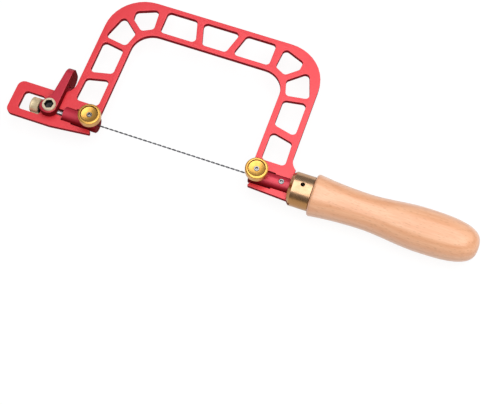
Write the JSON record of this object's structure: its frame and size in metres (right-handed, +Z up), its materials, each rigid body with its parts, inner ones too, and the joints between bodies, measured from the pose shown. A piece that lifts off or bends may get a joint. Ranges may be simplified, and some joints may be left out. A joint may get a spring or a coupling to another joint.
{
  "type": "fret saw",
  "caption": "Hand fret saw: pierced flat aluminium bow, twisted blade held in screw clamps, cam lever that tensions it, brass ferrule and turned wooden handle.",
  "frame": {"origin": "under the middle of the saw's box, on the surface that it lies on", "axes": "+X along the blade towards the handle, +Y from the blade towards the spine of the bow, +Z up, square to the bow plate, on the side of the clamp knobs"},
  "size_m": [0.3428, 0.1226, 0.0309],
  "materials": {
    "red_anodised": "red anodised aluminium, satin",
    "crimson_anodised": "dark red anodised aluminium, satin",
    "steel": "turned steel",
    "black_steel": "blackened steel",
    "blade_steel": "dark twisted steel",
    "brass": "turned brass",
    "wood": "oiled beech"
  },
  "bodies": {
    "frame": {"frame_plate": "red_anodised", "rear_clamp_body": "crimson_anodised", "rear_set_screw": "steel", "ferrule": "brass", "ferrule_set_screw": "black_steel", "handle_stud": "steel", "handle": "wood", "blade": "blade_steel", "cross_pin": "brass"},
    "rear_pad": {"rear_pressure_pad": "steel"},
    "rear_screw": {"rear_clamp_screw": "steel", "rear_knob": "brass"},
    "collar": {"thrust_collar": "black_steel"},
    "lever": {"cam_lever": "crimson_anodised"},
    "adjuster": {"adjusting_nut": "brass"},
    "front_clamp": {"front_clamp_body": "crimson_anodised", "tension_rod": "steel"},
    "front_pad": {"front_pressure_pad": "steel"},
    "front_screw": {"front_clamp_screw": "steel", "front_knob": "brass"}
  },
  "joints": [
    {"name": "cam_draw", "type": "slide", "parent": "frame", "child": "collar", "axis": [1, 0, 0], "range_m": [0, 0.0006]},
    {"name": "lever_swing", "type": "hinge", "parent": "frame", "child": "lever", "pos_m": [-0.1407, -0.04587, 0.01545], "axis": [0, 0, 1], "range_deg": [0, 40.5]},
    {"name": "clamp_draw", "type": "slide", "parent": "collar", "child": "front_clamp", "axis": [1, 0, 0], "range_m": [-0.0007, 0.0028]},
    {"name": "nut_turn", "type": "hinge", "parent": "collar", "child": "adjuster", "pos_m": [-0.1524, -0.04587, 0.01545], "axis": [1, 0, 0], "range_deg": [-1440.5, 360.5]},
    {"name": "front_pad_slide", "type": "slide", "parent": "front_clamp", "child": "front_pad", "axis": [0, 0, 1], "range_m": [0, 0.0021]},
    {"name": "front_screw_turn", "type": "hinge", "parent": "front_pad", "child": "front_screw", "pos_m": [-0.10925, -0.04587, 0.01545], "axis": [0, 0, 1], "range_deg": [0, 1080.5]},
    {"name": "rear_pad_slide", "type": "slide", "parent": "frame", "child": "rear_pad", "axis": [0, 0, 1], "range_m": [0, 0.0021]},
    {"name": "rear_screw_turn", "type": "hinge", "parent": "rear_pad", "child": "rear_screw", "pos_m": [0.01395, -0.04587, 0.01545], "axis": [0, 0, 1], "range_deg": [0, 1080.5]}
  ],
  "couplings": [
    {"joint": "lever_swing", "follows": "cam_draw", "rad_per_m": 1163.6},
    {"joint": "nut_turn", "follows": "clamp_draw", "rad_per_m": -8976},
    {"joint": "front_screw_turn", "follows": "front_pad_slide", "rad_per_m": 8976},
    {"joint": "rear_screw_turn", "follows": "rear_pad_slide", "rad_per_m": 8976}
  ]
}
